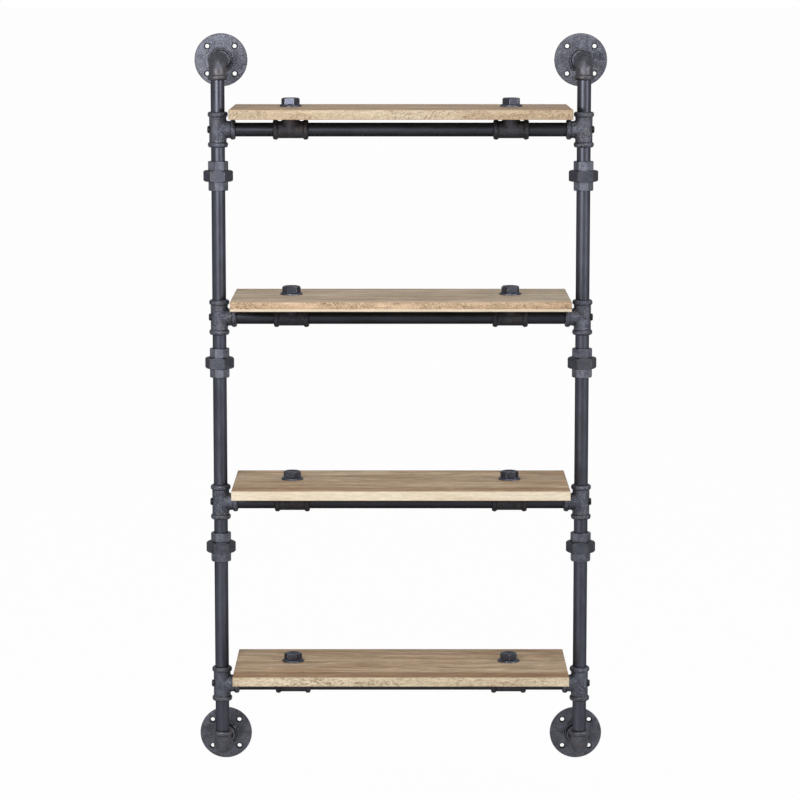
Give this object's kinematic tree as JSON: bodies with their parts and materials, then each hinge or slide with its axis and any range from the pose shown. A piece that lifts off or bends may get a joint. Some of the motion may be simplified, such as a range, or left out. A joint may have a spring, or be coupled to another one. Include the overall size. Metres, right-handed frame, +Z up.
{
  "type": "pipe shelving unit",
  "caption": "Wall-hung shelving unit: oak boards on black iron pipe rails between two pipe uprights, with elbows and round flanges to the wall.",
  "frame": {"origin": "on the wall, midway between the four wall flanges", "axes": "+Z up, front faces -Y, +Y into the wall, +X to the right seen from the front"},
  "size_m": [0.64, 0.213, 1.1506],
  "materials": {
    "pipe": "dark slate grey paint, satin",
    "fitting": "black malleable iron, slightly rough, with faint brown wear on the edges",
    "fastener": "black, satin",
    "oak": "light weathered oak, matt, with pale sawn edges"
  },
  "bodies": {
    "root": {"board_1": "oak", "rail_1": "pipe", "board_2": "oak", "rail_2": "pipe", "board_3": "oak", "rail_3": "pipe", "board_4": "oak", "rail_4": "pipe", "side_tees_left": "fitting", "side_bolts_left": "fastener", "shelf_tees_left": "fitting", "shelf_plugs_left": "fastener", "union_upper_halves_left": "fitting", "union_nuts_left": "fitting", "union_lower_halves_left": "fitting", "short_nipples_left": "pipe", "upright_pipes_left": "pipe", "side_tees_right": "fitting", "side_bolts_right": "fastener", "shelf_tees_right": "fitting", "shelf_plugs_right": "fastener", "union_upper_halves_right": "fitting", "union_nuts_right": "fitting", "union_lower_halves_right": "fitting", "short_nipples_right": "pipe", "upright_pipes_right": "pipe", "elbows_top": "fitting", "top_nipples": "pipe", "wall_flanges_top": "fitting", "elbows_bottom": "fitting", "bottom_nipples": "pipe", "wall_flanges_bottom": "fitting", "wall_nipples": "pipe"}
  },
  "joints": []
}
